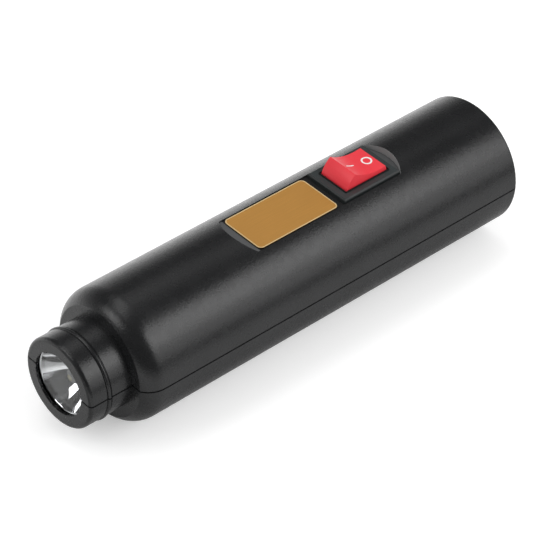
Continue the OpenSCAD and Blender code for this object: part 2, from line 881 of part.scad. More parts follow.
module front_lead() {
  color("firebrick") place() tube(front_route, lead_r, 8);
}

module rear_lead() {
  color("black") place() tube(rear_route, lead_r, 8);
}

upper_shell();
lower_shell();
battery_door();
case_screws();
lens();
reflector();
led_emitter();
led_board();
led_resistor();
label_plate();
switch_housing();
rocker();
rocker_plunger();
plunger_spring();
contact_lever();
centre_terminal();
side_terminal();
front_carrier();
rear_carrier();
cell_left();
cell_right();
cell_lower();
front_link_plate();
front_single_plate();
rear_link_plate();
rear_single_plate();
spring_left();
spring_right();
spring_lower();
return_lead();
front_lead();
rear_lead();
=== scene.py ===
"""Looks of a hand-held egg candler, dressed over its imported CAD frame.

Lengths are metres in the row frame: nose to -X, tail to +X, switch up, resting on z = 0.
"""

import json
import logging
import math
from dataclasses import dataclass, field
from enum import Enum

import bmesh
import bpy
import numpy as np
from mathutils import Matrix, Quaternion, Vector


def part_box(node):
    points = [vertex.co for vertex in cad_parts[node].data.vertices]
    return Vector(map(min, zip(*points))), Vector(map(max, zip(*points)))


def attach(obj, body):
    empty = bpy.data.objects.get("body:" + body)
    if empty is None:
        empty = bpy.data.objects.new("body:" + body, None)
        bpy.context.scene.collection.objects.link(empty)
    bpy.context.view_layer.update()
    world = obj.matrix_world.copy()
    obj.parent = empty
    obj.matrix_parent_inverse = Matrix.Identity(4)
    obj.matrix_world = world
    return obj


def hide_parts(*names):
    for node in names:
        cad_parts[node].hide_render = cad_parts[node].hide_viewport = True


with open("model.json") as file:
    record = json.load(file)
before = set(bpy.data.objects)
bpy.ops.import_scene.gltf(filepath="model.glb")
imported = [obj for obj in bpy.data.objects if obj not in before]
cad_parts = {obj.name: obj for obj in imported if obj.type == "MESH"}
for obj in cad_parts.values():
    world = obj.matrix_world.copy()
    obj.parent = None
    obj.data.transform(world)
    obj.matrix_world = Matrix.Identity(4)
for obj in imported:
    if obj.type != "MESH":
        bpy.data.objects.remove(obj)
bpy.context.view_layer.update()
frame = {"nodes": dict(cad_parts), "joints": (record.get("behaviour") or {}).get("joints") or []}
LOG = logging.getLogger("egg_candler")
MM = 0.001

MERGE_GAP = 1e-8  # points of a new mesh this close are one
WELD_GAP = 1e-6  # points of a CAD node this close are one
SHARP_ANGLE = math.radians(35.0)  # edges sharper than this are rounded
CORNER_STEPS = 9  # points on each corner of a carried section
NOISE_BAND = (0.3, 0.7)  # the range that holds nearly all values of a noise
MASK_EDGE = 0.05 * MM  # half the width of a mask's soft edge

Colour = tuple[float, float, float]
Pair = tuple[float, float]
Socket = bpy.types.NodeSocket
Value = Socket | float
Shade = Socket | Colour


class Axis(Enum):
    """An axis of the row frame, as the place of its coordinate."""

    X = 0
    Y = 1
    Z = 2


class Body(Enum):
    """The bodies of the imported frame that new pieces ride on."""

    CASE = "case"
    ROCKER = "rocker"


# Shared tools


def scaled(colour: Colour, factor: float) -> Colour:
    """Returns a colour made darker or lighter by a factor."""
    return tuple(channel * factor for channel in colour)


def opaque(value):
    """Returns a colour with an alpha of 1, and any other value as it is."""
    return (*value, 1.0) if isinstance(value, tuple) else value


class Nodes:
    """A node tree under construction, with short calls for the nodes it uses."""

    def __init__(self, tree: bpy.types.NodeTree) -> None:
        """Takes the tree that the nodes are added to."""
        self.tree = tree

    def node(self, kind: str, **values) -> bpy.types.Node:
        """Adds a node and sets its properties.

        Args:
            kind: The node's type name.
            **values: Properties of the node.

        Returns:
            The node.
        """
        node = self.tree.nodes.new(kind)
        for key, value in values.items():
            setattr(node, key, value)
        return node

    def wire(self, source, target: Socket) -> None:
        """Links a socket, or sets a plain value, on the target socket."""
        if isinstance(source, Socket):
            self.tree.links.new(source, target)
        else:
            target.default_value = source

    def ramp(self, value: Value, low: float, high: float, to_low: Value, to_high: Value) -> Socket:
        """Maps a value from one range to another, clamped, and returns the socket."""
        node = self.node("ShaderNodeMapRange", clamp=True)
        for source, target in zip((value, low, high, to_low, to_high), node.inputs):
            self.wire(source, target)
        return node.outputs[0]

    def math(self, operation: str, a: Value, b: Value = 0.0) -> Socket:
        """Adds a math node on two values or sockets and returns its socket."""
        node = self.node("ShaderNodeMath", operation=operation)
        self.wire(a, node.inputs[0])
        self.wire(b, node.inputs[1])
        return node.outputs[0]

    def times(self, first: Value, *others: Value) -> Socket:
        """Multiplies values or sockets one after another and returns the socket."""
        for other in others:
            first = self.math("MULTIPLY", first, other)
        return first


class Graph(Nodes):
    """A node material under construction, with one shader and its output."""

    def __init__(self, name: str) -> None:
        """Starts the material and finds its Object coordinates."""
        self.material = bpy.data.materials.new(name)
        self.material.use_nodes = True
        super().__init__(self.material.node_tree)
        self.shader = self.tree.nodes["Principled BSDF"]
        self.place = self.node("ShaderNodeTexCoord").outputs["Object"]

    def set(self, **values) -> None:
        """Sets constants on the shader's own sockets, with _ for a space in a name."""
        for key, value in values.items():
            self.wire(opaque(value), self.shader.inputs[key.replace("_", " ")])

    def noise(self, scale: float, detail: float = 3.0, stretch: Colour = (1, 1, 1)) -> Socket:
        """Adds noise on the Object coordinates.

        Args:
            scale: Features per metre.
            detail: Octaves of the noise.
            stretch: Extra scale along X, Y and Z.

        Returns:
            The noise's value socket.
        """
        mapping = self.node("ShaderNodeMapping")
        mapping.inputs["Scale"].default_value = stretch
        self.wire(self.place, mapping.inputs["Vector"])
        noise = self.node("ShaderNodeTexNoise")
        noise.inputs["Scale"].default_value = scale
        noise.inputs["Detail"].default_value = detail
        self.wire(mapping.outputs["Vector"], noise.inputs["Vector"])
        return noise.outputs["Fac"]

    def tone(self, noise: Socket, low: float = 0.0, high: float = 1.0) -> Socket:
        """Maps the band that a noise keeps to onto a range and returns the socket."""
        return self.ramp(noise, *NOISE_BAND, low, high)

    def mix(self, factor: Value, a: Shade, b: Shade) -> Socket:
        """Mixes two colours, each a tuple or a socket, and returns the socket."""
        node = self.node("ShaderNodeMix", data_type="RGBA")
        first, second, result = node.inputs[6], node.inputs[7], node.outputs[2]  # the colour sockets
        self.wire(factor, node.inputs["Factor"])
        self.wire(opaque(a), first)
        self.wire(opaque(b), second)
        return result

    def along(self, axis: Axis) -> Socket:
        """Returns the socket of one Object coordinate."""
        split = self.node("ShaderNodeSeparateXYZ")
        self.wire(self.place, split.inputs[0])
        return split.outputs[axis.value]

    def between(self, axis: Axis, low: float, high: float) -> Socket:
        """Returns a mask that is 1 between two places on an axis and 0 outside."""
        value = self.along(axis)
        rise = self.ramp(value, low - MASK_EDGE, low + MASK_EDGE, 0.0, 1.0)
        fall = self.ramp(value, high - MASK_EDGE, high + MASK_EDGE, 1.0, 0.0)
        return self.times(rise, fall)

    def radius(self, axes: tuple[Axis, Axis], at: Pair) -> Socket:
        """Returns the distance from a line that crosses the plane of two axes at a place."""
        first, second = (
            self.math("SUBTRACT", self.along(axis), place) for axis, place in zip(axes, at)
        )
        squares = self.math("ADD", self.times(first, first), self.times(second, second))
        return self.math("SQRT", squares)

    def bump(self, height: Socket, depth: float) -> None:
        """Bumps the shader's normal by a height socket, depth in metres."""
        node = self.node("ShaderNodeBump")
        node.inputs["Strength"].default_value = 1.0
        node.inputs["Distance"].default_value = depth
        self.wire(height, node.inputs["Height"])
        self.wire(node.outputs["Normal"], self.shader.inputs["Normal"])

    def finish(self, colour: Shade, roughness: Value) -> bpy.types.Material:
        """Sets the shader's colour and roughness and returns the material."""
        self.wire(opaque(colour), self.shader.inputs["Base Color"])
        self.wire(roughness, self.shader.inputs["Roughness"])
        return self.material


def surface(
    name: str, grid: np.ndarray, close_u: bool = False, close_v: bool = False, smooth: bool = True
) -> bpy.types.Object:
    """Puts a grid of points into a mesh as quads.

    A point at row i and column j joins its neighbours at i + 1 and j + 1; a closed
    direction also joins its last row or column to the first. Points that coincide, as
    at a pole, are merged, and the faces of the closed shape are turned outwards.

    Args:
        name: The object's name.
        grid: Points as an array of shape (rows, columns, 3).
        close_u: Joins the last row to the first.
        close_v: Joins the last column to the first.
        smooth: Shades the faces smooth, and otherwise flat.

    Returns:
        The linked object.
    """
    rows, columns = grid.shape[:2]
    i = np.arange(rows if close_u else rows - 1)[:, None]
    j = np.arange(columns if close_v else columns - 1)[None, :]
    down, right = (i + 1) % rows, (j + 1) % columns
    quads = np.stack(
        [i * columns + j, i * columns + right, down * columns + right, down * columns + j], axis=-1
    ).reshape(-1, 4)
    mesh = bpy.data.meshes.new(name)
    mesh.from_pydata(grid.reshape(-1, 3).tolist(), [], quads.tolist())
    work = bmesh.new()
    work.from_mesh(mesh)
    bmesh.ops.remove_doubles(work, verts=work.verts, dist=MERGE_GAP)
    bmesh.ops.recalc_face_normals(work, faces=work.faces)
    work.to_mesh(mesh)
    work.free()
    mesh.polygons.foreach_set("use_smooth", np.full(len(mesh.polygons), smooth))
    mesh.update()
    made = bpy.data.objects.new(name, mesh)
    bpy.context.scene.collection.objects.link(made)
    return made


def carried_round(
    name: str, middle: Vector, half: Pair, corner: float, section: list[Pair]
) -> bpy.types.Object:
    """Carries a small section round an upright rectangle with round corners.

    At each angle of a corner the point lies on the corner's circle, whose radius shrinks
    by the inset of the section's point; straight sides join the corners.

    Args:
        name: The object's name.
        middle: Middle of the rectangle, at the height that the section starts from.
        half: Half the rectangle's length and width.
        corner: Radius of its corners.
        section: Inset from the rectangle and height of each point of the section.

    Returns:
        The closed frame.
    """
    turn = np.linspace(0.0, np.pi / 2, CORNER_STEPS)
    angle = np.concatenate([turn + quarter * np.pi / 2 for quarter in range(4)])[:, None]
    sign_x = np.repeat([1.0, -1.0, -1.0, 1.0], len(turn))[:, None]
    sign_y = np.repeat([1.0, 1.0, -1.0, -1.0], len(turn))[:, None]
    inset, height = np.array(section).T
    x = middle.x + sign_x * (half[0] - corner) + (corner - inset) * np.cos(angle)
    y = middle.y + sign_y * (half[1] - corner) + (corner - inset) * np.sin(angle)
    grid = np.stack([x, y, np.broadcast_to(middle.z + height, x.shape)], axis=-1)
    return surface(name, grid, close_u=True, close_v=True, smooth=False)


def soften(node: str, width: float, segments: int) -> None:
    """Rounds the sharp edges of a CAD node by modifiers, which leave its mesh alone.

    Args:
        node: The node's name.
        width: Width of the rounding.
        segments: Faces across the rounding.
    """
    piece = frame["nodes"][node]
    weld = piece.modifiers.new("weld", "WELD")
    weld.merge_threshold = WELD_GAP
    bevel = piece.modifiers.new("bevel", "BEVEL")
    bevel.width, bevel.segments, bevel.limit_method = width, segments, "ANGLE"
    bevel.angle_limit = SHARP_ANGLE
    bevel.use_clamp_overlap = True
    bevel.harden_normals = True


def join_to(body: Body, piece: bpy.types.Object, material: bpy.types.Material) -> None:
    """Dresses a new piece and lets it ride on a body."""
    piece.data.materials.append(material)
    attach(piece, body.value)
    LOG.info("%s rides on %s", piece.name, body.value)


def dress(names: list[str], material: bpy.types.Material) -> None:
    """Gives each named CAD node the material in place of its own."""
    for name in names:
        slots = frame["nodes"][name].data.materials
        slots.clear()
        slots.append(material)
        LOG.info("%s dressed in %s", name, material.name)


# Finishes


@dataclass(frozen=True)
class MouldedPlastic:
    """Moulded plastic with a fine grain and slow changes of shade and gloss."""

    name: str
    colour: Colour
    roughness: float = 0.45
    spread: float = 0.12
    grain: float = 3000.0
    depth: float = 0.01 * MM
    specular: float = 0.5
    grain_detail: float = 2.0
    shade_scale: float = 90.0
    gloss_scale: float = 400.0
    gloss_spread: float = 0.05

    def graph(self) -> Graph:
        """Returns the unfinished graph with its grain bump."""
        graph = Graph(self.name)
        graph.set(Specular_IOR_Level=self.specular)
        graph.bump(graph.noise(self.grain, self.grain_detail), self.depth)
        return graph

    def shade(self, graph: Graph) -> Socket:
        """Returns the colour socket: the base colour, a little darker and lighter by slow noise."""
        dark, light = (scaled(self.colour, 1 + step) for step in (-self.spread, self.spread))
        return graph.mix(graph.tone(graph.noise(self.shade_scale)), dark, light)

    def rough(self, graph: Graph) -> Socket:
        """Returns the roughness socket: the roughness, a little lower and higher by noise."""
        low, high = self.roughness - self.gloss_spread, self.roughness + self.gloss_spread
        return graph.tone(graph.noise(self.gloss_scale), low, high)

    def build(self) -> bpy.types.Material:
        """Returns the finished material."""
        graph = self.graph()
        return graph.finish(self.shade(graph), self.rough(graph))


@dataclass(frozen=True)
class WorkedMetal:
    """Bare or plated metal with marks that run along one axis."""

    name: str
    colour: Colour
    roughness: float = 0.3
    marks: Axis = Axis.X
    metallic: float = 1.0
    scale: float = 2500.0
    detail: float = 4.0
    draw_out: float = 0.03
    depth: float = 0.004 * MM
    dull: float = 0.9
    gloss_steps: Pair = (-0.06, 0.08)

    def build(self) -> bpy.types.Material:
        """Returns the finished material: noise drawn out along the marks drives shade and gloss."""
        graph = Graph(self.name)
        stretch = [1.0, 1.0, 1.0]
        stretch[self.marks.value] = self.draw_out
        brushed = graph.noise(self.scale, self.detail, tuple(stretch))
        graph.set(Metallic=self.metallic)
        graph.bump(brushed, self.depth)
        colour = graph.mix(graph.tone(brushed), scaled(self.colour, self.dull), self.colour)
        low, high = (self.roughness + step for step in self.gloss_steps)
        return graph.finish(colour, graph.tone(brushed, low, high))


# Sub-assemblies


@dataclass
class Case:
    """The two shells, the battery door and the screws that close the shells."""

    flat_x: Pair = (-17.5 * MM, 40.9 * MM)
    flat_half_w: float = 7.75 * MM
    flat_end_r: float = 12.0 * MM
    floor_band: float = 0.15 * MM
    wall_band: float = 0.02 * MM
    black: Colour = (0.0135, 0.0138, 0.0145)
    # painted light: the flat floor greyer than the black shell, for the light it catches
    flat_painted_light: Colour = (0.09, 0.092, 0.094)
    # painted light: the tail wall lighter still, in place of its own shade
    wall_painted_light: Colour = (0.26, 0.265, 0.265)
    # painted shade: near black on the flat between the plate and the bezel
    gap_painted_shade: Colour = (0.008, 0.008, 0.0084)
    gloss: float = 0.27
    gloss_spread: float = 0.03
    flat_rougher: float = 0.3
    grain: float = 2600.0
    grain_depth: float = 0.042 * MM
    door_lighter: float = 1.05
    door_rougher: float = 0.05
    screw_zinc: Colour = (0.62, 0.62, 0.64)

    def end_wall(self, graph: Graph, flat_z: float) -> Socket:
        """Makes a mask of the round wall at the flat's tail end.

        Args:
            graph: The material's graph.
            flat_z: Height of the flat.

        Returns:
            The mask: 1 on the end's circle, behind its middle and above the floor.
        """
        end_x = self.flat_x[1] - self.flat_end_r
        away = graph.radius((Axis.X, Axis.Y), (end_x, 0.0))
        edge = (self.flat_end_r + self.wall_band, self.flat_end_r + MASK_EDGE)
        inside = graph.ramp(away, *edge, 1.0, 0.0)
        tail = graph.ramp(graph.along(Axis.X), end_x - MASK_EDGE, end_x + MASK_EDGE, 0.0, 1.0)
        above = graph.ramp(graph.along(Axis.Z), flat_z + MASK_EDGE, flat_z + 2 * MASK_EDGE, 0.0, 1.0)
        return graph.times(inside, tail, above)

    def shell_finish(self, flat_z: float) -> bpy.types.Material:
        """Makes the satin black of the shells, with a matt floor and tail wall in the top flat; these
        carry painted light, lighter greys in place of the light they catch, and the flat between the
        plate and the bezel carries painted shade, near black.

        Args:
            flat_z: Height of the flat.

        Returns:
            The material.
        """
        plastic = MouldedPlastic(
            "satin_black_shell",
            self.black,
            self.gloss,
            grain=self.grain,
            depth=self.grain_depth,
            gloss_spread=self.gloss_spread,
        )
        graph = plastic.graph()
        level = graph.between(Axis.Z, flat_z - self.floor_band, flat_z + self.floor_band)
        floor = graph.times(graph.between(Axis.X, *self.flat_x), level)
        end_wall = self.end_wall(graph, flat_z)
        across = graph.between(Axis.Y, -self.flat_half_w, self.flat_half_w)
        flat = graph.times(graph.math("MAXIMUM", floor, end_wall), across)
        # painted shade: from the plate's nose end to the bezel's tail end the flat is made near black
        painted_gap_span = graph.between(Axis.X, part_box("label_plate")[0].x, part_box("switch_housing")[1].x)
        # painted light on the open flat: lighter greys on the floor and the tail wall
        open_painted_light = graph.mix(end_wall, self.flat_painted_light, self.wall_painted_light)
        painted_flat_tone = graph.mix(painted_gap_span, open_painted_light, self.gap_painted_shade)
        colour = graph.mix(flat, plastic.shade(graph), painted_flat_tone)
        rougher = graph.times(flat, self.flat_rougher)
        return graph.finish(colour, graph.math("ADD", plastic.rough(graph), rougher))

    def build(self) -> None:
        """Dresses the shells, the door and the screws."""
        flat_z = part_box("label_plate")[0].z
        dress(["upper_shell", "lower_shell"], self.shell_finish(flat_z))
        door = MouldedPlastic(
            "satin_black_door",
            scaled(self.black, self.door_lighter),
            self.gloss + self.door_rougher,
            grain=self.grain,
            depth=self.grain_depth,
        )
        dress(["battery_door"], door.build())
        dress(["case_screws"], WorkedMetal("zinc_screw", self.screw_zinc, marks=Axis.Z).build())


@dataclass
class LightHead:
    """Lens, reflector, emitter and light board in the nose."""

    rings: int = 40
    turns: int = 144
    flange_t: float = 1.2 * MM
    mouth_r: float = 9.2 * MM
    throat_r: float = 3.1 * MM
    throat_len: float = 0.6 * MM
    wall: float = 0.8 * MM
    corner: float = 0.02 * MM
    led_r: float = 2.5 * MM
    led_collar: Pair = (2.9 * MM, 0.8 * MM)
    led_barrel: float = 3.2 * MM
    dome_steps: int = 24
    lens_ior: float = 1.3
    lens_tint: Colour = (0.97, 0.98, 0.98)
    lens_marks: float = 300.0
    lens_mark_band: Pair = (0.45, 0.75)
    lens_gloss: Pair = (0.01, 0.05)
    haze_scale: float = 500.0
    haze_shades: tuple[Colour, Colour] = ((0.8, 0.8, 0.82), (0.88, 0.88, 0.89))
    haze_gloss: Pair = (0.03, 0.08)
    core_r: Pair = (0.7 * MM, 1.1 * MM)
    core_yellow: Colour = (0.5, 0.46, 0.3)
    resin_grey: Colour = (0.3, 0.3, 0.29)
    resin_scale: float = 900.0
    resin_gloss: Pair = (0.15, 0.3)
    weave_scale: float = 1800.0
    weave_band: Pair = (0.35, 0.65)
    weave_depth: float = 0.01 * MM
    weave_greens: tuple[Colour, Colour] = ((0.02, 0.13, 0.06), (0.03, 0.2, 0.09))
    resistor_black: Colour = (0.03, 0.03, 0.032)

    def turned(
        self, name: str, along: np.ndarray, radius: np.ndarray, axis_z: float, ring: bool
    ) -> bpy.types.Object:
        """Turns a profile about the nose's axis.

        Args:
            name: The object's name.
            along: X of each point of the profile.
            radius: Distance of each point from the axis.
            axis_z: Height of the axis.
            ring: The profile closes on itself, and otherwise ends on the axis twice.

        Returns:
            The turned piece: each point goes round a circle of its own radius.
        """
        turn = np.linspace(0.0, 2 * np.pi, self.turns, endpoint=False)
        r = np.broadcast_to(radius[:, None], (len(radius), self.turns))
        x = np.broadcast_to(along[:, None], r.shape)
        grid = np.stack([x, r * np.sin(turn), axis_z + r * np.cos(turn)], axis=-1)
        return surface(name, grid, close_u=ring, close_v=True)

    def bowl(self) -> bpy.types.Object:
        """Makes the reflector: a polished bowl with a flat flange behind the lens.

        Rows of the bowl follow a parabola, radius squared rising evenly along the axis from
        throat to mouth; the back keeps a wall's distance. Each corner has a second row close
        by, so that the flange stays flat and the mouth sharp.

        Returns:
            The reflector.
        """
        low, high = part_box("reflector")
        outer, axis_z = (high.y - low.y) / 2, (low.z + high.z) / 2
        depth = high.x - low.x - self.throat_len
        share = np.linspace(1.0, 0.0, self.rings) ** 2
        bowl_r = np.sqrt(self.throat_r**2 + (self.mouth_r**2 - self.throat_r**2) * share)
        bowl_x = low.x + depth * (1.0 - share)
        flange_x, near = low.x + self.flange_t, self.corner
        back = bowl_x > flange_x
        back_x, back_r = bowl_x[back][::-1], bowl_r[back][::-1] + self.wall
        front_x = [low.x + near, low.x, low.x]
        front_r = [outer, outer - near, self.mouth_r + near]
        tube_x = [high.x - near, high.x, high.x]
        tube_r = [self.throat_r, self.throat_r + near, self.throat_r + self.wall]
        ends_x = [flange_x, flange_x, flange_x - near]
        ends_r = [back_r[-1], outer - near, outer]
        along = np.concatenate([front_x, bowl_x, tube_x, back_x, ends_x])
        radius = np.concatenate([front_r, bowl_r, tube_r, back_r, ends_r])
        return self.turned("reflector_bowl", along, radius, axis_z, ring=True)

    def emitter(self) -> bpy.types.Object:
        """Makes the emitter: a collar, a short barrel and a round dome.

        The dome's points lie on a circle about the barrel's end: the radius times cos(turn)
        from the axis and times sin(turn) ahead, for a turn from 0 to a right angle.

        Returns:
            The emitter.
        """
        low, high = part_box("led_emitter")
        collar_r, collar_t = self.led_collar
        base, near = high.x, self.corner
        shoulder = base - collar_t
        foot_x = [base, base, base - near, shoulder + near, shoulder, shoulder, shoulder - near]
        collar = [0.0, collar_r - near, collar_r, collar_r, collar_r - near]
        turn = np.linspace(0.0, np.pi / 2, self.dome_steps)
        dome_x = shoulder - self.led_barrel - self.led_r * np.sin(turn)
        along = np.concatenate([foot_x, dome_x])
        radius = np.concatenate([collar, [self.led_r + near, self.led_r], self.led_r * np.cos(turn)])
        return self.turned("emitter_dome", along, radius, (low.z + high.z) / 2, ring=False)

    def lens_finish(self) -> bpy.types.Material:
        """Makes clear bloomed plastic with faint handling marks in its gloss."""
        graph = Graph("clear_lens")
        graph.set(Transmission_Weight=1.0, IOR=self.lens_ior)
        rough = graph.ramp(graph.noise(self.lens_marks), *self.lens_mark_band, *self.lens_gloss)
        return graph.finish(self.lens_tint, rough)

    def chrome_finish(self) -> bpy.types.Material:
        """Makes metallised plastic with a faint haze."""
        graph = Graph("metallised_bowl")
        haze = graph.noise(self.haze_scale)
        graph.set(Metallic=1.0)
        colour = graph.mix(graph.tone(haze), *self.haze_shades)
        return graph.finish(colour, graph.tone(haze, *self.haze_gloss))

    def emitter_finish(self) -> bpy.types.Material:
        """Makes the emitter: a pale yellow core in grey resin under a clear skin."""
        graph = Graph("resin_dome")
        low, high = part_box("lens")
        axis = (0.0, (low.z + high.z) / 2)
        core = graph.ramp(graph.radius((Axis.Y, Axis.Z), axis), *self.core_r, 1.0, 0.0)
        graph.set(Coat_Weight=1.0, Coat_Roughness=0.05)
        rough = graph.tone(graph.noise(self.resin_scale), *self.resin_gloss)
        return graph.finish(graph.mix(core, self.resin_grey, self.core_yellow), rough)

    def board_finish(self) -> bpy.types.Material:
        """Makes green solder mask with a faint weave."""
        graph = Graph("solder_mask")
        weave = graph.noise(self.weave_scale)
        colour = graph.mix(graph.ramp(weave, *self.weave_band, 0.0, 1.0), *self.weave_greens)
        graph.bump(weave, self.weave_depth)
        return graph.finish(colour, roughness=0.35)

    def build(self) -> None:
        """Makes the reflector and the emitter and dresses the pieces of the light."""
        bowl, emitter = self.bowl(), self.emitter()
        join_to(Body.CASE, bowl, self.chrome_finish())
        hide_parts("reflector")
        join_to(Body.CASE, emitter, self.emitter_finish())
        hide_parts("led_emitter")
        dress(["lens"], self.lens_finish())
        dress(["led_board"], self.board_finish())
        resistor = MouldedPlastic("resistor_black", self.resistor_black, roughness=0.4)
        dress(["led_resistor"], resistor.build())


@dataclass
class NamePlate:
    """The bare gold plate in the top flat, with its bright rim."""

    gold: Colour = (0.48, 0.234, 0.045)
    rim_gold: Colour = (0.74, 0.55, 0.28)
    # painted shade: near black on the plate's sides, for the dark line round it
    edge: Colour = (0.012, 0.01, 0.007)
    side_shade_band: Pair = (0.06 * MM, 0.04 * MM)
    corner: float = 1.5 * MM
    rim_w: float = 0.32 * MM
    rim_h: float = 0.05 * MM
    rim_inset: float = 0.02 * MM
    rim_sunk: float = 0.05 * MM
    metallic: float = 0.15
    brushing: float = 3000.0
    brush_detail: float = 4.0
    brush_stretch: Colour = (0.03, 1.0, 1.0)
    brush_depth: float = 0.002 * MM
    brush_tones: Pair = (0.93, 1.05)
    stain_scale: float = 120.0
    stain_share: float = 0.25
    stain_tone: float = 0.85
    gloss: Pair = (0.4, 0.5)

    def rim(self) -> bpy.types.Object:
        """Makes the rim: a flat rectangle, sunk a little in the plate's face and carried round it."""
        low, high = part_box("label_plate")
        middle, half = (low + high) / 2, (high - low) / 2
        middle.z = high.z
        out, sunk = self.rim_inset, -self.rim_sunk
        section = [(out, sunk), (out, self.rim_h), (self.rim_w, self.rim_h), (self.rim_w, sunk)]
        return carried_round("plate_rim", middle, (half.x, half.y), self.corner, section)

    def face_finish(self) -> bpy.types.Material:
        """Makes satin gold with fine brushing along the plate, and painted shade on its sides: they go
        near black, for the dark line round the plate.
        """
        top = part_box("label_plate")[1].z
        graph = Graph("satin_gold")
        brushed = graph.noise(self.brushing, self.brush_detail, self.brush_stretch)
        dark, light = (scaled(self.gold, tone) for tone in self.brush_tones)
        face = graph.mix(graph.tone(brushed), dark, light)
        stain = graph.times(graph.tone(graph.noise(self.stain_scale)), self.stain_share)
        face = graph.mix(stain, face, scaled(self.gold, self.stain_tone))
        # painted shade: below the face the plate's sides go near black
        low, high = (top - depth for depth in self.side_shade_band)
        side = graph.ramp(graph.along(Axis.Z), low, high, 1.0, 0.0)
        graph.set(Metallic=self.metallic)
        graph.bump(brushed, self.brush_depth)
        return graph.finish(graph.mix(side, face, self.edge), graph.tone(brushed, *self.gloss))

    def build(self) -> None:
        """Dresses the plate and adds its rim."""
        dress(["label_plate"], self.face_finish())
        rim = WorkedMetal(
            "bright_gold_rim",
            self.rim_gold,
            roughness=0.35,
            metallic=self.metallic,
            scale=self.brushing,
        )
        join_to(Body.CASE, self.rim(), rim.build())


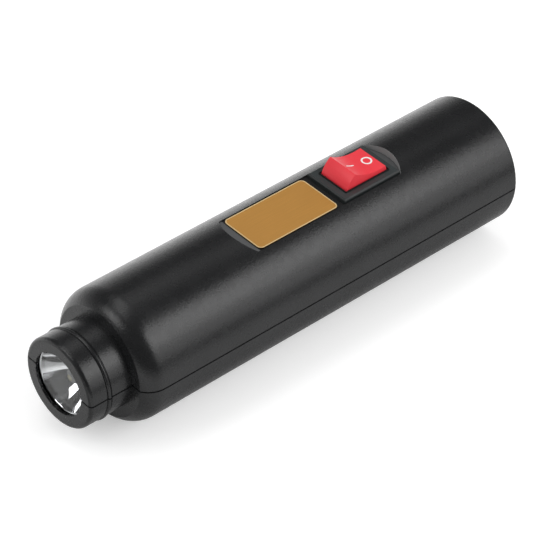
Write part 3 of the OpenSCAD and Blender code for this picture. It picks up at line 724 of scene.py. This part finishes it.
@dataclass
class Switch:
    """The panel rocker switch with its contacts and its on and off marks."""

    red: Colour = (0.8, 0.044, 0.06)
    grey: Colour = (0.032, 0.04, 0.041)
    white: Colour = (0.82, 0.8, 0.78)
    # near black of the painted shadow strip round the mouth
    black: Colour = (0.004, 0.004, 0.004)
    nylon: Colour = (0.78, 0.75, 0.66)
    spring_steel: Colour = (0.7, 0.7, 0.72)
    brass: Colour = (0.75, 0.53, 0.2)
    tin: Colour = (0.72, 0.72, 0.7)
    end_r: float = 7.75 * MM
    span: float = math.radians(50.8)
    dish: float = 1.1 * MM
    tilt: float = math.radians(13.0)
    rocker_round: float = 0.55 * MM
    bezel_round: float = 0.07 * MM
    mark_t: float = 0.03 * MM
    on_at: Pair = (-2.9 * MM, 0.0)
    on_len: float = 3.2 * MM
    on_w: float = 0.42 * MM
    on_steps: int = 25
    off_at: Pair = (3.7 * MM, 0.0)
    off_r: Pair = (1.08 * MM, 1.56 * MM)
    off_steps: int = 64
    mouth: Pair = (16.0 * MM, 10.3 * MM)
    # sizes of the painted shadow strip round the mouth
    shadow_lip_w: float = 0.35 * MM
    shadow_lip_h: float = 0.35 * MM
    shadow_lip_sunk: float = 0.1 * MM
    shadow_lip_slope: float = 0.12 * MM
    shadow_lip_corner: float = 0.1 * MM
    chamfer: float = 0.42 * MM
    # painted shade: how much darker the bezel's chamfer is made
    chamfer_painted_shade: float = 0.5

    def on_rocker(self, x: np.ndarray, y: np.ndarray, lift: np.ndarray) -> np.ndarray:
        """Lays points on the rocker's hollow top.

        The top is a circle's arc about a line across the rocker, hollow by the dish; the
        rocker is then turned by its tilt about the pivot.

        Args:
            x: Distance along the rocker from its middle.
            y: Distance across the rocker.
            lift: Height above the top.

        Returns:
            The points, with a last axis of 3.
        """
        half, top = self.end_r * math.sin(self.span), self.end_r * math.cos(self.span)
        arc = (half**2 + self.dish**2) / (2 * self.dish)
        z = top - self.dish + arc - np.sqrt(arc**2 - x**2) + lift
        joint = next(j for j in frame["joints"] if j["name"] == "rocker_tilt")
        px, py, pz = joint["pos_m"]
        c, s = math.cos(self.tilt), math.sin(self.tilt)
        return np.stack([px + x * c + z * s, py + y, pz - x * s + z * c], axis=-1)

    def off_mark(self) -> bpy.types.Object:
        """Makes the ring mark: a small rectangle, radius and height, turned once and laid on the top."""
        turn = np.linspace(0.0, 2 * np.pi, self.off_steps, endpoint=False)[:, None]
        r = np.repeat(self.off_r, 2)
        lift = np.array([-1.0, 1.0, 1.0, -1.0]) * self.mark_t
        x = self.off_at[0] + r * np.cos(turn)
        y = self.off_at[1] + r * np.sin(turn)
        grid = self.on_rocker(x, y, np.broadcast_to(lift, x.shape))
        return surface("off_mark", grid, close_u=True, close_v=True, smooth=False)

    def on_mark(self) -> bpy.types.Object:
        """Makes the bar mark: a rectangle across, carried along the bar and drawn in at both ends.

        The half width at a share t of the half length is the full one times the fourth
        root of 1 - t^8, so the ends close in a round.

        Returns:
            The bar.
        """
        share = np.sin(np.linspace(-np.pi / 2, np.pi / 2, self.on_steps))
        width = 0.5 * self.on_w * np.clip(1.0 - share**8, 0.0, None) ** 0.25
        side = np.array([-1.0, -1.0, 1.0, 1.0])
        lift = np.array([-1.0, 1.0, 1.0, -1.0]) * self.mark_t
        y = self.on_at[1] + width[:, None] * side
        x = np.broadcast_to((self.on_at[0] + 0.5 * self.on_len * share)[:, None], y.shape)
        grid = self.on_rocker(x, y, np.broadcast_to(lift, y.shape))
        return surface("on_mark", grid, close_v=True, smooth=False)

    def shadow_lip(self) -> bpy.types.Object:
        """Makes a near-black strip round the mouth, a painted shadow in place of the dark gap round the
        rocker: a strip with a sloping outer side.
        """
        low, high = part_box("switch_housing")
        middle = (low + high) / 2
        middle.z = high.z
        half = tuple(size / 2 + self.shadow_lip_w for size in self.mouth)
        outer = [(0.0, -self.shadow_lip_sunk), (self.shadow_lip_slope, self.shadow_lip_h)]
        inner = [(self.shadow_lip_w, self.shadow_lip_h), (self.shadow_lip_w, -self.shadow_lip_sunk)]
        return carried_round("mouth_lip", middle, half, self.shadow_lip_w + self.shadow_lip_corner, outer + inner)

    def bezel_finish(self) -> bpy.types.Material:
        """Makes grey nylon, with painted shade on the chamfer round the bezel: darker there, in place of
        the light the chamfer catches.
        """
        plastic = MouldedPlastic("nylon_bezel", self.grey, roughness=0.5)
        graph = plastic.graph()
        low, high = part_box("switch_housing")
        top = graph.times(
            graph.between(Axis.X, low.x + self.chamfer, high.x - self.chamfer),
            graph.between(Axis.Y, low.y + self.chamfer, high.y - self.chamfer),
        )
        # painted shade on the chamfer: the grey made darker outside the top
        dark = scaled(self.grey, self.chamfer_painted_shade)
        return graph.finish(graph.mix(top, dark, plastic.shade(graph)), plastic.rough(graph))

    def red_finish(self) -> bpy.types.Material:
        """Makes the smooth red plastic of the rocker."""
        return MouldedPlastic(
            "red_rocker",
            self.red,
            roughness=0.38,
            spread=0.04,
            grain=1500.0,
            depth=0.004 * MM,
            specular=0.3,
        ).build()

    def print_finish(self) -> bpy.types.Material:
        """Makes the white print of the marks."""
        return MouldedPlastic(
            "white_print", self.white, roughness=0.55, spread=0.03, grain=4000.0, depth=0.003 * MM
        ).build()

    def build(self) -> None:
        """Dresses the switch and adds its marks and a near-black strip round the mouth, a painted shadow
        for the gap round the rocker.
        """
        dress(["switch_housing"], self.bezel_finish())
        # painted shadow: a near-black strip stands in for the dark gap round the rocker
        black = MouldedPlastic("black_lip", self.black, roughness=0.6)
        join_to(Body.CASE, self.shadow_lip(), black.build())
        dress(["rocker"], self.red_finish())
        soften("rocker", self.rocker_round, segments=4)
        soften("switch_housing", self.bezel_round, segments=2)
        print_white = self.print_finish()
        for mark in (self.on_mark(), self.off_mark()):
            join_to(Body.ROCKER, mark, print_white)
        plunger = MouldedPlastic("natural_nylon", self.nylon, roughness=0.5, spread=0.05)
        dress(["rocker_plunger"], plunger.build())
        dress(["plunger_spring"], WorkedMetal("spring_wire", self.spring_steel).build())
        dress(["contact_lever"], WorkedMetal("brass_strip", self.brass).build())
        blades = WorkedMetal("tinned_blade", self.tin, roughness=0.35, marks=Axis.Z)
        dress(["centre_terminal", "side_terminal"], blades.build())


@dataclass
class BatteryBay:
    """Three cells with their contacts, springs and carriers."""

    cap_end: Pair = (15.9 * MM, 16.1 * MM)
    button_end: Pair = (1.4 * MM, 1.6 * MM)
    wrap_end: Pair = (49.9 * MM, 50.0 * MM)
    cap_copper: Colour = (0.55, 0.25, 0.1)
    wrap_black: Colour = (0.02, 0.02, 0.022)
    bare_steel: Colour = (0.7, 0.7, 0.71)
    wrap_metallic: float = 0.25
    scuff_scale: float = 500.0
    gloss: Pair = (0.22, 0.34)
    plate_nickel: Colour = (0.74, 0.73, 0.71)
    wire_nickel: Colour = (0.72, 0.72, 0.72)
    contact_roughness: float = 0.25
    cream: Colour = (0.66, 0.61, 0.5)

    def cell_finish(self, name: str, button_at: float, way: float) -> bpy.types.Material:
        """Makes a two-colour cell wrap: a copper cap at the button end and a dark body.

        Args:
            name: The material's name.
            button_at: X of the button's end.
            way: 1 where the cell runs to +X from its button, otherwise -1.

        Returns:
            The material.
        """
        graph = Graph(name)
        along = graph.times(graph.math("SUBTRACT", graph.along(Axis.X), button_at), way)
        body = graph.ramp(along, *self.cap_end, 0.0, 1.0)
        button = graph.ramp(along, *self.button_end, 1.0, 0.0)
        base = graph.ramp(along, *self.wrap_end, 0.0, 1.0)
        wrap = graph.mix(body, self.cap_copper, self.wrap_black)
        bare = graph.math("MAXIMUM", button, base)
        metallic = graph.ramp(bare, 0.0, 1.0, self.wrap_metallic, 1.0)
        graph.wire(metallic, graph.shader.inputs["Metallic"])
        rough = graph.tone(graph.noise(self.scuff_scale), *self.gloss)
        return graph.finish(graph.mix(bare, wrap, self.bare_steel), rough)

    def build(self) -> None:
        """Dresses the cells and what holds them."""
        for node, way in (("cell_left", 1.0), ("cell_right", -1.0), ("cell_lower", 1.0)):
            low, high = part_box(node)
            dress([node], self.cell_finish(f"{node}_wrap", low.x if way > 0 else high.x, way))
        plate = WorkedMetal("nickel_plate", self.plate_nickel, self.contact_roughness, Axis.Y)
        plates = ["front_link_plate", "front_single_plate", "rear_link_plate", "rear_single_plate"]
        dress(plates, plate.build())
        wire = WorkedMetal("nickel_wire", self.wire_nickel, self.contact_roughness)
        dress(["spring_left", "spring_right", "spring_lower"], wire.build())
        carrier = MouldedPlastic("cream_carrier", self.cream, roughness=0.5, spread=0.05)
        dress(["front_carrier", "rear_carrier"], carrier.build())


@dataclass
class Wiring:
    """The three leads inside the case."""

    black: Colour = (0.02, 0.02, 0.021)
    red: Colour = (0.45, 0.02, 0.02)
    gloss: float = 0.4

    def build(self) -> None:
        """Dresses the leads."""
        black = MouldedPlastic("black_lead", self.black, self.gloss)
        dress(["return_lead", "rear_lead"], black.build())
        dress(["front_lead"], MouldedPlastic("red_lead", self.red, self.gloss).build())


@dataclass(frozen=True)
class Softbox:
    """A soft lamp that faces the object.

    Azimuth is degrees from +X towards +Y, elevation degrees above the floor, size its width
    and height. A radiance of 1 is as bright as the white background.
    """

    name: str
    azimuth: float
    elevation: float
    distance: float
    size: Pair
    radiance: float

    def build(self) -> None:
        """Adds the lamp."""
        a, e = math.radians(self.azimuth), math.radians(self.elevation)
        away = Vector((math.cos(e) * math.cos(a), math.cos(e) * math.sin(a), math.sin(e)))
        data = bpy.data.lights.new(self.name, "AREA")
        data.shape, data.size, data.size_y = "RECTANGLE", *self.size
        data.energy = self.radiance * math.pi * self.size[0] * self.size[1]
        lamp = bpy.data.objects.new(self.name, data)
        lamp.matrix_world = away.to_track_quat("Z", "Y").to_matrix().to_4x4()
        lamp.location = away * self.distance
        bpy.context.scene.collection.objects.link(lamp)


@dataclass
class Studio:
    """Camera, pale floor and soft light."""

    eye: Vector = field(default_factory=lambda: Vector((-402.532, -381.751, 488.204)) * MM)
    aim: Vector = field(default_factory=lambda: Vector((-1.085, -1.531, 16.517)) * MM)
    roll: float = math.radians(5.306)
    lens: float = 176.64
    sensor: float = 36.0
    clip: Pair = (0.01, 20.0)
    ambient: float = 0.62
    sky_lean: float = -0.35
    sky_fade: Pair = (-0.36, 0.14)
    sky_light: Pair = (1.0, 0.03)
    floor_x: Pair = (-0.5, 0.5)
    floor_y: Pair = (-0.17, 0.5)
    floor_drop: float = 0.02 * MM
    floor_glow: float = 0.37
    far_y: Pair = (-0.02, 0.02)
    close_y: Pair = (-0.055, -0.018)
    beside_y: Pair = (-0.042, -0.026)
    ahead_x: Pair = (-0.13, -0.06)
    ahead_y: Pair = (0.05, 0.12)
    white_floor: Colour = (0.86, 0.86, 0.86)
    near_floor: Colour = (0.75, 0.75, 0.75)
    # painted shadow, seen only in reflections: the floor close to the object's near side
    shaded_floor: Colour = (0.46, 0.46, 0.46)
    # painted shadow, seen only in reflections: the floor just ahead of the nose
    shadowed_front_floor: Colour = (0.3, 0.3, 0.3)
    far_floor: Colour = (0.95, 0.95, 0.95)
    lit_floor: Colour = (0.9, 0.9, 0.9)
    lamps: tuple[Softbox, ...] = (
        Softbox("near_softbox", -57.0, 38.0, 1.6, (1.1, 0.84), 3.05),
        Softbox("near_fill", -57.0, 12.6, 1.6, (1.1, 0.55), 1.35),
        Softbox("top_panel", 34.0, 57.0, 0.5, (0.3, 0.12), 0.44),
        Softbox("front_softbox", 157.0, 40.0, 1.0, (0.5, 0.42), 2.8),
        Softbox("crown_panel", 105.0, 73.0, 0.52, (0.42, 0.22), 1.4),
    )

    def camera(self) -> None:
        """Sets the camera at the photograph's angle, with its roll."""
        data = bpy.data.cameras.new("camera")
        data.lens, data.sensor_width = self.lens, self.sensor
        data.clip_start, data.clip_end = self.clip
        camera = bpy.data.objects.new("camera", data)
        track = (self.aim - self.eye).to_track_quat("-Z", "Y")
        camera.matrix_world = (track @ Quaternion((0, 0, 1), self.roll)).to_matrix().to_4x4()
        camera.location = self.eye
        bpy.context.scene.collection.objects.link(camera)
        bpy.context.scene.camera = camera

    def world(self) -> None:
        """Makes the sky: white to the camera, an even light on matt faces, and a fade in mirrors.

        In reflections and through the lens it is white low on the far side and fades to a
        dim ceiling and a dim near side, as before a sweep of paper.
        """
        world = bpy.data.worlds.new("tent")
        world.use_nodes = True
        bpy.context.scene.world = world
        sky = Nodes(world.node_tree)
        split = sky.node("ShaderNodeSeparateXYZ")
        sky.wire(sky.node("ShaderNodeTexCoord").outputs["Generated"], split.inputs[0])
        lean = sky.math("ADD", sky.times(split.outputs["Y"], self.sky_lean), split.outputs["Z"])
        fade = sky.ramp(lean, *self.sky_fade, *self.sky_light)
        path = sky.node("ShaderNodeLightPath").outputs
        seen = path["Is Camera Ray"]
        strength = sky.math("MAXIMUM", seen, fade)
        for kind in ("Is Glossy Ray", "Is Transmission Ray"):
            seen = sky.math("MAXIMUM", seen, path[kind])
        background = world.node_tree.nodes["Background"].inputs
        sky.wire((1.0, 1.0, 1.0, 1.0), background["Color"])
        sky.wire(sky.ramp(seen, 0.0, 1.0, self.ambient, strength), background["Strength"])

    def floor(self) -> None:
        """Makes the pale floor: white to the camera, and in greys by place in reflections, with painted
        shadow in them: darker greys close to the object's near side and just ahead of its nose.
        """
        ends = np.linspace(*self.floor_x, 3), np.linspace(*self.floor_y, 3)
        x, y = np.meshgrid(*ends, indexing="ij")
        floor = surface("floor", np.stack([x, y, np.full_like(x, -self.floor_drop)], axis=-1))
        graph = Graph("pale_floor")
        path = graph.node("ShaderNodeLightPath").outputs
        seen = path["Is Camera Ray"]
        far = graph.ramp(graph.along(Axis.Y), *self.far_y, 0.0, 1.0)
        close = graph.ramp(graph.along(Axis.Y), *self.close_y, 0.0, 1.0)
        beside = graph.ramp(graph.along(Axis.Y), *self.beside_y, 1.0, 0.0)
        ahead = graph.times(
            graph.ramp(graph.along(Axis.X), *self.ahead_x, 1.0, 0.0),
            graph.ramp(graph.along(Axis.Y), *self.ahead_y, 1.0, 0.0),
        )
        # painted shadow in reflections: the greys darken towards the object's near side
        side = graph.mix(far, graph.mix(close, self.near_floor, self.shaded_floor), self.far_floor)
        # painted shadow in reflections: darker just ahead of the nose
        front = graph.mix(beside, self.shadowed_front_floor, self.lit_floor)
        mirrored = graph.mix(ahead, side, front)
        graph.set(Specular_IOR_Level=0.0, Emission_Color=(1.0, 1.0, 1.0))
        beyond = graph.times(far, graph.math("SUBTRACT", 1.0, ahead))
        glow = graph.math("MAXIMUM", seen, graph.times(path["Is Glossy Ray"], beyond))
        graph.wire(graph.times(glow, self.floor_glow), graph.shader.inputs["Emission Strength"])
        colour = graph.mix(seen, mirrored, self.white_floor)
        floor.data.materials.append(graph.finish(colour, roughness=0.9))

    def build(self) -> None:
        """Sets the stage."""
        bpy.context.scene.view_settings.view_transform = "Standard"
        self.camera()
        self.world()
        self.floor()
        for lamp in self.lamps:
            lamp.build()


def main() -> None:
    """Builds the stage and each sub-assembly in order."""
    logging.basicConfig(level=logging.INFO, format="%(name)s: %(message)s")
    for part in (Studio(), Case(), LightHead(), NamePlate(), Switch(), BatteryBay(), Wiring()):
        part.build()
        LOG.info("%s built", type(part).__name__)
    bpy.context.view_layer.update()


if __name__ == "__main__":
    main()
